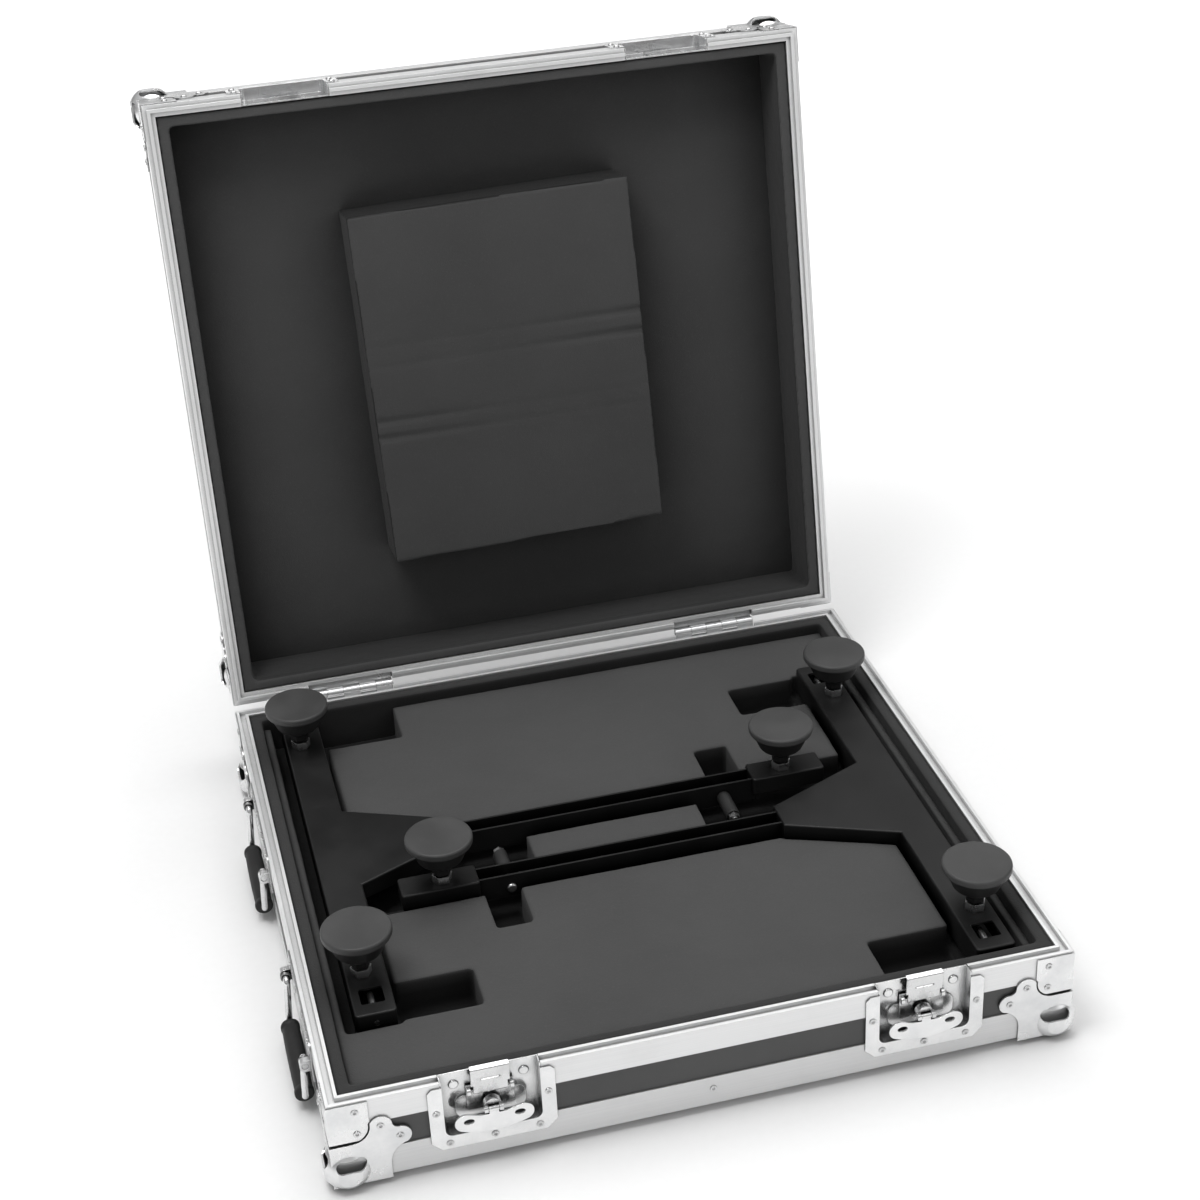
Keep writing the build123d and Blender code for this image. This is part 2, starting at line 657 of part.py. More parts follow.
def cross_pin():
    """A bolt through the left stand's arm and its spacer, with a button head and a nut."""
    x, z = PIN_AT_X, PIN_AT_Z
    inner, outer = ARM_Y - ARM_HALF_W, ARM_Y + ARM_HALF_W
    nut_at = inner - SPACER_LONG
    pin = rod((x, nut_at - PIN_NUT_TALL - 2, z), (x, outer + 1, z), PIN_BOLT_R)
    nut = extrude(RegularPolygon(PIN_NUT_AF / 2, 6, major_radius=False), amount=PIN_NUT_TALL)
    pin += Plane(origin=(x, nut_at, z), z_dir=(0, -1, 0)).location * nut
    head = rod((x, outer, z), (x, outer + PIN_HEAD_H, z), PIN_HEAD_R)
    return pin + fillet(head.edges().sort_by(Axis.Y)[-1:], 2.2)


def spacer():
    """A sleeve on the cross bolt, in the gap between the two stands' arms."""
    x, z = PIN_AT_X, PIN_AT_Z
    inner = ARM_Y - ARM_HALF_W
    sleeve = rod((x, inner - SPACER_LONG, z), (x, inner, z), SPACER_R)
    sleeve = chamfer(sleeve.edges().filter_by(GeomType.CIRCLE), 0.8)
    return sleeve - rod((x, inner - SPACER_LONG - 1, z), (x, inner + 1, z), PIN_BOLT_R)


def end_screw(side):
    """A headless screw along the left crossbar, from its end wall to beyond the window."""
    x = -(BAR_X[0] + BAR_X[1]) / 2
    end = ARM_Y + side * (BAR_HALF - END_SCREW_SUNK)
    start = ARM_Y + side * (WINDOW_AT - 16)
    screw = rod((x, start, END_SCREW_Z), (x, end, END_SCREW_Z), END_SCREW_R)
    return chamfer(screw.edges().filter_by(GeomType.CIRCLE), 0.6)


def lock_nut(x, y):
    """A hexagon nut that clamps a foot's stud."""
    nut = extrude(RegularPolygon(NUT_AF / 2, 6, major_radius=False), amount=NUT_TALL)
    nut -= Cylinder(STUD_R + 0.3, 3 * NUT_TALL)
    return Pos(x, y, STAND_TOP) * nut


def foot(x, y):
    """A levelling foot upside down: pad on top, cone, hexagon and stud."""
    low = STAND_TOP - 12
    under = PAD_TOP - PAD_T
    waist = under - CONE_TALL[1]
    cone_low = waist - CONE_TALL[0]
    pad = rod((x, y, under), (x, y, PAD_TOP), PAD_R)
    pad = fillet(pad.edges().filter_by(GeomType.CIRCLE), 2.4)
    standing = (Align.CENTER, Align.CENTER, Align.MIN)
    neck = Pos(x, y, cone_low) * Cone(*CONE_R[:2], CONE_TALL[0], align=standing)
    neck += Pos(x, y, waist) * Cone(*CONE_R[1:], CONE_TALL[1], align=standing)
    waist_edge = [e for e in neck.edges().filter_by(GeomType.CIRCLE)
                  if abs(e.center().Z - waist) < 0.01]
    neck = fillet(waist_edge, 7)
    hexagon = RegularPolygon(FOOT_HEX_AF / 2, 6, major_radius=False)
    hexagon = Pos(x, y, cone_low - FOOT_HEX_TALL) * extrude(hexagon, amount=FOOT_HEX_TALL + 0.5)
    stud = rod((x, y, low), (x, y, cone_low), STUD_R)
    return pad + neck + hexagon + stud


# ---------------------------------------------------------------- foam
def pocket(x, y, floor):
    """A straight-sided pocket from the foam's top face."""
    return block(x, y, (floor, FOAM_TOP + 1))


def stand_pockets():
    """Pockets for the left stand; the right stand's are these turned half a turn."""
    back = HALF_D - RIM_W - LINING
    bar = pocket((-307.5, -254), (ARM_Y - BAR_HALF - 4, back), POCKET_FLOOR)
    gusset = extrude(Pos(0, 0, POCKET_FLOOR) * gusset_outline(3.0), amount=40)
    run = pocket((-BAR_X[0], 150), (22, 58), POCKET_FLOOR)
    end = pocket((149, 262), (20, 59), POCKET_FLOOR)
    fingers = [
        pocket((88, 255), (-22.5, 22.5), FINGER_FLOOR),
        pocket((112, 147), (57, 112), FINGER_FLOOR),
        pocket((-256, -174), (236, back), FINGER_FLOOR),
        pocket((-256, -181), (-213, -162), FINGER_FLOOR),
    ]
    return [bar, gusset, run, end] + fingers


def foam_insert():
    """The base's foam block with every pocket cut."""
    inner = HALF_W - RIM_W - LINING - FOAM_FIT
    back = HALF_D - RIM_W - LINING - FOAM_FIT
    foam = block((-inner, inner), (-back, back), (FLOOR_Z + FOAM_FIT, FOAM_TOP))
    tools = stand_pockets()
    foam -= tools + [turned(t) for t in tools]
    return max(foam.solids(), key=lambda s: s.volume)


# ---------------------------------------------------------------- build
def build_shells():
    """Panels, edging, corners and linings of base and lid."""
    trims = four_corners(corner_trim())
    openings = latch_openings(DISH_OPEN_LOW - TRAY_T - 0.2, BASE_H + 5)
    notches = hinge_notches(BASE_H - RIM_CAP, BASE_H + 5)
    room = trims + openings + notches
    floor, front, rear, ends = wall_panels(BASE_H - RIM_CAP)
    keep("base_floor_panel", *cut([floor], trims))
    keep("base_front_panel", *cut([front], room))
    keep("base_rear_panel", *cut([rear], room))
    keep("base_end_panels", *cut(ends, room))
    keep("base_rim_extrusions", *cut(mitred_ring(rim_profile(True)), openings + notches))
    keep("base_edge_angles", *cut(mitred_ring(edge_profile()), trims + openings))
    keep("base_ball_corners", *four_corners(ball_corner()))
    keep("base_rim_braces", *four_corners(rim_brace(BASE_H)))
    keep("base_wall_lining", *lining(FLOOR_Z + FOAM_FIT, BASE_H - LINING_DROP))

    openings = latch_openings(LID_Z - 5, LID_Z + KEEPER_OPEN + TRAY_T + 0.2)
    notches = hinge_notches(LID_Z - 5, LID_Z + RIM_CAP)
    trims = to_lid(trims)
    room = trims + openings + notches
    shift = LID_H - BASE_H
    top, front, rear, ends = wall_panels(LID_H - RIM_CAP)
    keep("lid_top_panel", *cut(to_lid([top]), trims))
    keep("lid_front_panel", *cut(to_lid([front]), room))
    keep("lid_rear_panel", *cut(to_lid([rear]), room))
    keep("lid_end_panels", *cut(to_lid(ends), room))
    rim = [Pos(0, 0, shift) * p for p in mitred_ring(rim_profile(False))]
    keep("lid_rim_extrusions", *cut(to_lid(rim), openings + notches))
    keep("lid_edge_angles", *cut(to_lid(mitred_ring(edge_profile())), trims + openings))
    keep("lid_ball_corners", *to_lid(four_corners(ball_corner())))
    keep("lid_rim_braces", *to_lid(four_corners(rim_brace(LID_H))))
    floor_z = LID_Z + LID_FLOOR
    keep("lid_wall_lining", *lining(LID_Z + LINING_DROP, floor_z - FOAM_FIT))
    in_x, in_y = HALF_W - RIM_W, HALF_D - RIM_W
    panel_z = LID_TOP - FLOOR_Z - FOAM_FIT
    keep("lid_floor_foam", block((-in_x, in_x), (-in_y, in_y), (floor_z, panel_z)))
    pad = block((-BLOCK_X, BLOCK_X), (-BLOCK_Y, BLOCK_Y), (LID_Z + 0.5, floor_z - FOAM_FIT))
    keep("lid_foam_block", Rot(0, 0, -BLOCK_TURN_DEG) * pad)


def build_hinges():
    """Two hinges on the rear wall."""
    for name, piece in (("hinge_base_leaves", hinge_leaf()), ("hinge_lid_leaves", lid_hinge_leaf()),
                        ("hinge_pins", hinge_pin())):
        keep(name, *[Pos(x, 0, 0) * piece for x in HINGE_X])


def build_latches():
    """Two butterfly latches in the base's front wall and their keepers in the lid's."""
    at = [Pos(s * LATCH_X, 0, 0) for s in SIDES]
    dish = latch_dish(DISH_LOW, DISH_OPEN_LOW, BASE_H, 9)
    for side in SIDES:
        dish += tray_boss(side)
    keeper = latch_dish(LID_TOP - LID_Z - KEEPER_TOP, LID_TOP - LID_Z - KEEPER_OPEN, LID_H, 9)
    keep("latch_dishes", *[p * dish for p in at])
    keep("latch_seats", *[p * latch_seat() for p in at])
    keep("keeper_dishes", *[p * to_lid([keeper])[0] for p in at])
    keep("keeper_bars", *[p * keeper_bar() for p in at])
    for side, place in zip(("left", "right"), at):
        keep(f"latch_spindle_{side}", place * latch_spindle())
        keep(f"latch_wing_{side}", place * latch_wing())
        keep(f"latch_slider_{side}", place * latch_slider())
        keep(f"latch_hook_{side}", place * latch_hook())


def build_handles():
    """Two sprung bail handles on each end wall."""
    plates, springs = [], []
    for y, along in zip(HANDLE_Y, ("rear", "front")):
        for side, about in (("left", None), ("right", Plane.YZ)):
            pieces = [Pos(0, y, 0) * p for p in (handle_plate(), bail(), grip())]
            coils = [Pos(0, y, 0) * handle_spring()]
            coils.append(mirror(coils[0], about=Plane(origin=(0, y, 0), z_dir=(0, 1, 0))))
            if about:
                pieces = [mirror(p, about=about) for p in pieces]
                coils = [mirror(c, about=about) for c in coils]
            plates.append(pieces[0])
            springs += coils
            keep(f"bail_{side}_{along}", pieces[1])
            keep(f"grip_{side}_{along}", pieces[2])
    keep("handle_plates", *plates)
    keep("handle_springs", *springs)


def build_contents():
    """The foam insert and the two stowed stand bases with their feet."""
    keep("foam_insert", foam_insert())
    frame, pin, sleeve = stand_frame(), cross_pin(), spacer()
    keep("stand_frame_left", frame)
    keep("stand_frame_right", turned(frame))
    keep("stand_cross_pins", pin, turned(pin))
    keep("stand_spacers", sleeve, turned(sleeve))
    screws = [end_screw(s) for s in SIDES]
    keep("stand_end_screws", *screws, *[turned(s) for s in screws])
    nuts = [lock_nut(x, y) for x, y in stand_feet()]
    keep("foot_lock_nuts", *nuts, *[turned(n) for n in nuts])
    for name, (x, y) in zip(("rear", "front", "arm"), stand_feet()):
        keep(f"foot_left_{name}", foot(x, y))
    for name, (x, y) in zip(("front", "rear", "arm"), stand_feet()):
        keep(f"foot_right_{name}", turned(foot(x, y)))


def mirrored_places(places):
    """A front left corner's rivet places at all four corners."""
    out = []
    for (x, y, z), (u, v, w) in places:
        for sx in (1, -1):
            for sy in (1, -1):
                out.append(((sx * x, sy * y, z), (sx * u, sy * v, w)))
    return out


def flipped_place(place, top):
    """A base rivet's place turned over into the lid."""
    (x, y, z), (u, v, w) = place
    return (x, y, top - z), (u, v, -w)


def base_rivet_places():
    """Every rivet in the base: point and outward direction."""
    places = mirrored_places(corner_rivet_places())
    places += [((0, s * HALF_D, ANGLE_RIVET_Z), (0, s, 0)) for s in SIDES]
    for s in SIDES:
        places += [((s * LATCH_X + x, FACE_Y - DISH_T, z), (0, -1, 0)) for x, z in DISH_RIVETS]
        places += [((s * (HALF_W + 1.8), at + y, z), (s, 0, 0))
                   for at in HANDLE_Y for y, z in HANDLE_RIVETS]
    return places + [((at + x, HALF_D + LEAF_T, z), (0, 1, 0))
                     for at in HINGE_X for x, z in HINGE_RIVETS]


def lid_rivet_places():
    """Every rivet in the closed lid."""
    corner = corner_rivet_places()
    balls = [flipped_place(p, LID_TOP) for p in mirrored_places(corner[:6])]
    braces = [flipped_place(p, BASE_H + LID_Z) for p in mirrored_places(corner[6:])]
    places = balls + braces
    for s in SIDES:
        places += [((s * LATCH_X + x, FACE_Y - DISH_T, z), (0, -1, 0)) for x, z in KEEPER_RIVETS]
    return places + [((at + x, HALF_D + LEAF_T, BASE_H + LID_Z - z), (0, 1, 0))
                     for at in HINGE_X for x, z in HINGE_RIVETS]


def build_rivets():
    """Rivets, and their holes in everything that they pass through."""
    base, lid = base_rivet_places(), lid_rivet_places()
    base_parts = ("base_floor_panel", "base_front_panel", "base_rear_panel", "base_end_panels",
                  "base_rim_extrusions", "base_edge_angles", "base_ball_corners", "base_rim_braces",
                  "latch_dishes", "hinge_base_leaves", "handle_plates")
    lid_parts = ("lid_top_panel", "lid_front_panel", "lid_rear_panel", "lid_end_panels",
                 "lid_rim_extrusions", "lid_edge_angles", "lid_ball_corners", "lid_rim_braces",
                 "keeper_dishes", "hinge_lid_leaves")
    for places, names in ((base, base_parts), (lid, lid_parts)):
        holes = [shank_hole(*p) for p in places]
        for name in names:
            NODES[name] = cut(NODES[name], holes)
    keep("base_rivets", *[rivet(*p) for p in base])
    keep("lid_rivets", *[rivet(*p) for p in lid])


ON_LID = ("hinge_lid_leaves", "keeper_dishes", "keeper_bars")


def write_nodes():
    """One STEP file per node, with the lid swung open."""
    os.makedirs("parts", exist_ok=True)
    for name, pieces in NODES.items():
        if name.startswith("lid_") or name in ON_LID:
            pieces = [swing(p) for p in pieces]
        solids = [s for p in pieces for s in p.solids()]
        whole = solids[0] if len(solids) == 1 else Compound(solids)
        export_step(whole, f"parts/{name}.step")


build_shells()
build_hinges()
build_latches()
build_handles()
build_contents()
build_rivets()
write_nodes()
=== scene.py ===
"""Looks of the flight case: foam, rubber and every material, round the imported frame. Metres."""
import json
import math
import bpy
import bmesh
from mathutils import Matrix, Vector, noise


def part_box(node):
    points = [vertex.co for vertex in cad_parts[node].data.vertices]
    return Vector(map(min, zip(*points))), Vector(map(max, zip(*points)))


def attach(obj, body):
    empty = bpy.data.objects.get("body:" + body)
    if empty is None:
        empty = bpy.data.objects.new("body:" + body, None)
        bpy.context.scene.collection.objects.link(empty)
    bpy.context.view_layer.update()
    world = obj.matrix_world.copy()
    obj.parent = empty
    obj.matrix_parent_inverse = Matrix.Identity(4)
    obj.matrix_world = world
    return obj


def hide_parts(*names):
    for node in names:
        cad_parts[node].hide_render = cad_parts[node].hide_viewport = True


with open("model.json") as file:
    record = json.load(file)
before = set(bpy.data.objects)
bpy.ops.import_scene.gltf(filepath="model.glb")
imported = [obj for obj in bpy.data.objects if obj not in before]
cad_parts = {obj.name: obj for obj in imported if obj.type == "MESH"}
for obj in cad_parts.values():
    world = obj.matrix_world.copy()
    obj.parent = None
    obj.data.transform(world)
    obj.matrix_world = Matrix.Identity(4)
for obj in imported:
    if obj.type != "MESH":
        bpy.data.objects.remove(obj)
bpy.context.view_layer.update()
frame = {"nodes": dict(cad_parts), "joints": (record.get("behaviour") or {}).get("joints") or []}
scene = bpy.context.scene
joints = {j["name"]: j for j in frame["joints"]}

MM = 0.001

# The lid's pins and swing: its pieces are described shut, and stand open at rest
PIVOT = Vector(joints["lid_hinge"]["pos_m"])
LID_SWING = math.radians(joints["lid_hinge"]["range_deg"][1])
TURN_SHUT = Matrix.Rotation(LID_SWING, 4, "X")
SHUT = Matrix.Translation(PIVOT) @ TURN_SHUT @ Matrix.Translation(-PIVOT)
OPEN = SHUT.inverted()

# Half the case's width and depth, from its bottom edging
HALF_W, HALF_D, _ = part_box("base_edge_angles")[1]


# ---------------------------------------------------------------- shaders
RAYS = 6                    # samples of the edge and hollow nodes
EDGE_TURN = (0.995, 0.75)   # cosines between the true and rounded normals: none, full edge
OPEN_SHARE = (0.25, 0.85)   # how much of the room a point sees: hollow, open


class Shader:
    """A principled material, with short calls that add nodes to it."""

    def __init__(self, name, shut=False, **values):
        self.material = bpy.data.materials.new(name)
        self.material.use_nodes = True
        self.tree = self.material.node_tree
        self.surface = self.tree.nodes["Principled BSDF"]
        self.shut = shut
        for key, value in values.items():
            self.set(key.replace("_", " "), value)

    def feed(self, socket, value):
        if isinstance(value, bpy.types.NodeSocket):
            self.tree.links.new(value, socket)
        else:
            socket.default_value = value

    def set(self, name, value):
        self.feed(self.surface.inputs[name], value)

    def node(self, kind, inputs=None, **settings):
        made = self.tree.nodes.new("ShaderNode" + kind)
        for key, value in settings.items():
            setattr(made, key, value)
        for key, value in (inputs or {}).items():
            self.feed(made.inputs[key], value)
        return made

    def place(self, stretch=(1, 1, 1)):
        """The point in the row frame, with the lid's pieces turned shut, then stretched."""
        point = self.node("TexCoord").outputs["Object"]
        if self.shut:
            turned = {"Vector": point, "Rotation": SHUT.to_euler(), "Location": SHUT.translation}
            point = self.node("Mapping", turned).outputs[0]
        return self.node("Mapping", {"Vector": point, "Scale": stretch}).outputs[0]

    def noise(self, scale, stretch=(1, 1, 1), detail=3.0, rough=0.5):
        inputs = {"Vector": self.place(stretch), "Scale": scale,
                  "Detail": detail, "Roughness": rough}
        return self.node("TexNoise", inputs).outputs[0]

    def cells(self, scale):
        made = self.node("TexVoronoi", {"Vector": self.place(), "Scale": scale})
        return made.outputs["Distance"]

    def remap(self, value, low, high, to_low=0.0, to_high=1.0):
        inputs = {"Value": value, "From Min": low, "From Max": high,
                  "To Min": to_low, "To Max": to_high}
        return self.node("MapRange", inputs).outputs[0]

    def dot(self, a, b):
        return self.node("VectorMath", {0: a, 1: b}, operation="DOT_PRODUCT").outputs["Value"]

    def height(self):
        """The height of the point in the row frame, shut where the piece is the lid's."""
        return self.node("SeparateXYZ", {0: self.place()}).outputs[2]

    def math(self, operation, a, b=0.0):
        return self.node("Math", {0: a, 1: b}, operation=operation).outputs[0]

    def mix(self, share, a, b):
        made = self.node("Mix", data_type="RGBA")
        for index, value in ((0, share), (6, a), (7, b)):
            self.feed(made.inputs[index], value)
        return made.outputs[2]

    def bump(self, height, distance, strength=1.0, normal=None):
        inputs = {"Height": height, "Distance": distance, "Strength": strength}
        if normal:
            inputs["Normal"] = normal
        return self.node("Bump", inputs).outputs[0]

    def edges(self, radius):
        """1 on a sharp edge and 0 away from it, with the rounded normal."""
        soft = self.node("Bevel", {"Radius": radius}, samples=RAYS).outputs[0]
        true = self.node("NewGeometry").outputs["Normal"]
        return self.remap(self.dot(soft, true), *EDGE_TURN), soft

    def painted_shade(self, reach, dark):
        """Painted shade: 1 where the surface is open to the room, down to a set share in a corner
        or recess.
        """
        shade = self.node("AmbientOcclusion", {"Distance": reach}, samples=RAYS).outputs["AO"]
        return self.remap(shade, *OPEN_SHARE, dark, 1.0)

    def scaled(self, colour, factor):
        """A colour times a factor from 0 to 1."""
        return self.mix(factor, grey(0.0), colour)


def grey(value):
    return (value, value, value, 1.0)


def tone(value, cast=0.0):
    """A near-neutral colour, a little blue where cast is above 0."""
    return (value * (1 - cast), value, value * (1 + cast), 1.0)


FOAM_CELL = 1.3 * MM


def foam(name, value, shut=False, pocket_shade=None, walls=0.5, reach=30 * MM):
    """Closed-cell foam: matt, finely pitted, a little uneven in tone, with cut marks on walls.

    Walls that stand up from the skin get painted shade, as dark as walls says next to the
    skin's 1. Where two heights are given, painted shade darkens the foam from the first
    down to the second.
    """
    s = Shader(name, shut, Roughness=0.94, Sheen_Weight=0.06, Sheen_Roughness=0.6)
    s.set("Specular IOR Level", 0.18)
    blotch = s.noise(7, detail=4)
    speck = s.noise(1 / (2.2 * MM), detail=2)
    base = s.mix(s.remap(blotch, 0.35, 0.65), tone(value * 0.93), tone(value * 1.06))
    base = s.mix(s.remap(speck, 0.60, 0.78, 0, 0.35), base, tone(value * 1.5))
    # painted shade on walls that stand up from the skin
    skin = SHUT.to_3x3().inverted() @ Vector((0, 0, 1)) if shut else Vector((0, 0, 1))
    flat = s.dot(s.node("NewGeometry").outputs["True Normal"], skin)
    base = s.scaled(base, s.remap(s.math("ABSOLUTE", flat), 0.5, 0.9, walls, 1.0))
    # painted shade into the pockets, from the first height down to the second
    if pocket_shade:
        base = s.mix(s.remap(s.height(), *pocket_shade), base, tone(value * 0.1))
    # painted shade in corners and near walls, over the reach given
    s.set("Base Color", s.scaled(base, s.painted_shade(reach, 0.2)))
    pits = s.remap(s.cells(1 / FOAM_CELL), 0.0, 0.55)
    grain = s.noise(1 / (5 * MM), detail=3)
    cuts = s.noise(1 / (3 * MM), stretch=(1, 1, 0.06), detail=2)
    normal = s.bump(pits, 0.35 * MM, 0.55)
    normal = s.bump(grain, 0.6 * MM, 0.35, normal)
    s.set("Normal", s.bump(cuts, 0.5 * MM, 0.25, normal))
    return s.material


DRAWN_ALONG, DRAWN_ACROSS = 5, 1400     # how often the drawn lines vary, per metre


def extrusion(name, value, shut=False):
    """Satin anodised aluminium: drawn lines along each length, dull marks, bright worn edges."""
    s = Shader(name, shut, Metallic=0.62, Anisotropic=0.35)
    x, y, _ = s.node("SeparateXYZ", {0: s.place()}).outputs
    far_x = s.math("DIVIDE", s.math("ABSOLUTE", x), HALF_W)
    far_y = s.math("DIVIDE", s.math("ABSOLUTE", y), HALF_D)
    on_end = s.math("GREATER_THAN", far_x, far_y)
    along_x = (DRAWN_ALONG, DRAWN_ACROSS, DRAWN_ACROSS)
    along_y = (DRAWN_ACROSS, DRAWN_ALONG, DRAWN_ACROSS)
    lines_x = s.noise(1, stretch=along_x, detail=5, rough=0.7)
    lines_y = s.noise(1, stretch=along_y, detail=5, rough=0.7)
    lines = s.node("Mix", {0: on_end, 2: lines_x, 3: lines_y}).outputs[0]
    smudge = s.noise(16, detail=5, rough=0.6)
    edge, normal = s.edges(0.5 * MM)
    base = s.mix(s.remap(lines, 0.3, 0.7), tone(value * 0.93, 0.005), tone(value * 1.03))
    base = s.mix(s.remap(smudge, 0.55, 0.8, 0, 0.35), base, tone(value * 0.82))
    base = s.mix(s.math("MULTIPLY", edge, 0.5), base, tone(0.95))
    # painted shade in corners and recesses
    s.set("Base Color", s.scaled(base, s.painted_shade(5 * MM, 0.25)))
    s.set("Roughness", s.remap(smudge, 0.3, 0.75, 0.30, 0.44))
    s.set("Normal", s.bump(lines, 0.05 * MM, 0.5, normal))
    return s.material


def plated(name, value, rough, shut=False, wave=0.15, reach=9 * MM, dark=0.06):
    """Bright plated steel pressing: gentle waves, hair scratches, handling haze, soft edges."""
    s = Shader(name, shut, Metallic=0.93)
    haze = s.noise(30, detail=5, rough=0.65)
    swell = s.noise(48, detail=1)
    hair = s.noise(1, stretch=(90, 620, 260), detail=3, rough=0.6)
    edge, normal = s.edges(0.55 * MM)
    base = s.mix(s.remap(haze, 0.35, 0.75), tone(value * 1.03), tone(value * 0.84, 0.01))
    base = s.mix(s.math("MULTIPLY", edge, 0.4), base, tone(0.97))
    # painted shade in recesses and corners, as strong as dark says
    s.set("Base Color", s.scaled(base, s.painted_shade(reach, dark)))
    s.set("Roughness", s.remap(haze, 0.3, 0.75, rough, rough + 0.16))
    normal = s.bump(swell, 1.0 * MM, wave, normal)
    s.set("Normal", s.bump(hair, 0.03 * MM, 0.2, normal))
    return s.material


def laminate(name, value, shut=False):
    """Black phenolic laminate: a fine orange-peel press texture with faint scuffs."""
    s = Shader(name, shut, Coat_Weight=0.12, Coat_Roughness=0.3)
    s.set("Specular IOR Level", 0.4)
    scuff = s.noise(1, stretch=(60, 60, 420), detail=5, rough=0.7)
    cloud = s.noise(11, detail=4)
    edge, normal = s.edges(0.4 * MM)
    base = s.mix(s.remap(cloud, 0.35, 0.65), tone(value * 0.9), tone(value * 1.12))
    base = s.mix(s.remap(scuff, 0.66, 0.82, 0, 0.5), base, tone(value * 2.2))
    s.set("Base Color", s.mix(s.math("MULTIPLY", edge, 0.4), base, tone(value * 2.5)))
    s.set("Roughness", s.remap(cloud, 0.3, 0.7, 0.36, 0.5))
    peel = s.cells(1 / (1.6 * MM))
    s.set("Normal", s.bump(peel, 0.12 * MM, 0.5, normal))
    return s.material


# how much paler the painted edge highlight is
POWDER_EDGE_HIGHLIGHT = 3.0


def powder(name, value, peel_size, rough, below=None):
    """Powder coat: a fine pimpled skin, paler on its edges as a painted highlight.

    Where below gives a height and a share, the coat under that height is that much darker:
    painted shade, as under a foot's pad.
    """
    s = Shader(name)
    peel = s.noise(1 / peel_size, detail=2)
    cloud = s.noise(20, detail=4)
    edge, normal = s.edges(0.7 * MM)
    base = s.mix(s.remap(cloud, 0.35, 0.65), tone(value * 0.85), tone(value * 1.2))
    # painted highlight along the edges
    base = s.mix(s.math("MULTIPLY", edge, 0.45), base, tone(value * POWDER_EDGE_HIGHLIGHT + 0.03))
    # painted shade under the given height
    if below:
        height, share = below
        base = s.scaled(base, s.remap(s.height(), height - 0.5 * MM, height, share, 1.0))
    # painted shade in corners and recesses, on both colour and specular
    hollow_shade = s.painted_shade(30 * MM, 0.05)
    s.set("Base Color", s.scaled(base, hollow_shade))
    s.set("Specular IOR Level", s.math("MULTIPLY", hollow_shade, 0.3))
    s.set("Roughness", s.remap(cloud, 0.3, 0.7, rough - 0.06, rough + 0.08))
    s.set("Normal", s.bump(peel, 0.12 * MM, 0.6, normal))
    return s.material


def turned_zinc(name, value, rough, dark=0.08):
    """Bright zinc on nuts, bolts and latch parts: crystalline haze and rubbed edges."""
    s = Shader(name, Metallic=1.0)
    grains = s.cells(1 / (0.9 * MM))
    haze = s.noise(60, detail=4)
    edge, normal = s.edges(0.35 * MM)
    base = s.mix(s.remap(grains, 0.1, 0.7), tone(value * 0.92, 0.01), tone(value * 1.04))
    base = s.mix(s.remap(haze, 0.5, 0.75, 0, 0.5), base, tone(value * 0.7))
    base = s.mix(s.math("MULTIPLY", edge, 0.5), base, tone(0.95))
    # painted shade in corners and recesses
    s.set("Base Color", s.scaled(base, s.painted_shade(5 * MM, dark)))
    s.set("Roughness", s.remap(haze, 0.3, 0.7, rough, rough + 0.18))
    s.set("Normal", s.bump(grains, 0.03 * MM, 0.4, normal))
    return s.material


def spring_wire(name):
    """Oiled spring wire: dark, with drawn lines."""
    s = Shader(name, Metallic=1.0)
    drawn = s.noise(1 / (0.5 * MM), detail=3)
    s.set("Base Color", s.mix(s.remap(drawn, 0.35, 0.7), tone(0.22), tone(0.42)))
    s.set("Roughness", s.remap(drawn, 0.3, 0.7, 0.25, 0.42))
    return s.material


def rubber(name):
    """Moulded black rubber: fine stipple and paler dusty patches."""
    s = Shader(name)
    s.set("Specular IOR Level", 0.35)
    stipple = s.noise(1 / (0.8 * MM), detail=2)
    dust = s.noise(45, detail=5, rough=0.65)
    s.set("Base Color", s.mix(s.remap(dust, 0.45, 0.75, 0, 0.6), tone(0.016), tone(0.045)))
    s.set("Roughness", s.remap(dust, 0.3, 0.7, 0.5, 0.7))
    s.set("Normal", s.bump(stipple, 0.12 * MM, 0.5))
    return s.material


# ---------------------------------------------------------------- soft pieces
WELD_WITHIN = 0.01 * MM


def settled(piece):
    """Bake a piece's modifiers into its mesh."""
    graph = bpy.context.evaluated_depsgraph_get()
    mesh = bpy.data.meshes.new_from_object(piece.evaluated_get(graph))
    piece.modifiers.clear()
    piece.data = mesh
    return piece


def soft_copy(node, name, voxel, relax):
    """The foam that stands for a CAD block, remeshed finely and eased at its cut edges."""
    piece = bpy.data.objects.new(name, frame["nodes"][node].data.copy())
    scene.collection.objects.link(piece)
    piece.data.materials.clear()
    weld = piece.modifiers.new("weld", "WELD")
    weld.merge_threshold = WELD_WITHIN
    remesh = piece.modifiers.new("remesh", "REMESH")
    remesh.mode = "VOXEL"
    remesh.voxel_size = voxel
    smooth = piece.modifiers.new("ease", "SMOOTH")
    smooth.factor = 0.5
    smooth.iterations = relax
    settled(piece)
    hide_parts(node)
    return piece


def uneven(piece, *waves):
    """Push the skin in and out a little; each wave is (length, height)."""
    mesh = piece.data
    moves = []
    for vertex in mesh.vertices:
        push = sum(height * noise.noise(vertex.co / length) for length, height in waves)
        moves.append(vertex.co + vertex.normal * push)
    for vertex, place in zip(mesh.vertices, moves):
        vertex.co = place
    mesh.update()


def finish_foam(piece, material, body):
    for polygon in piece.data.polygons:
        polygon.use_smooth = True
    piece.data.materials.append(material)
    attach(piece, body)


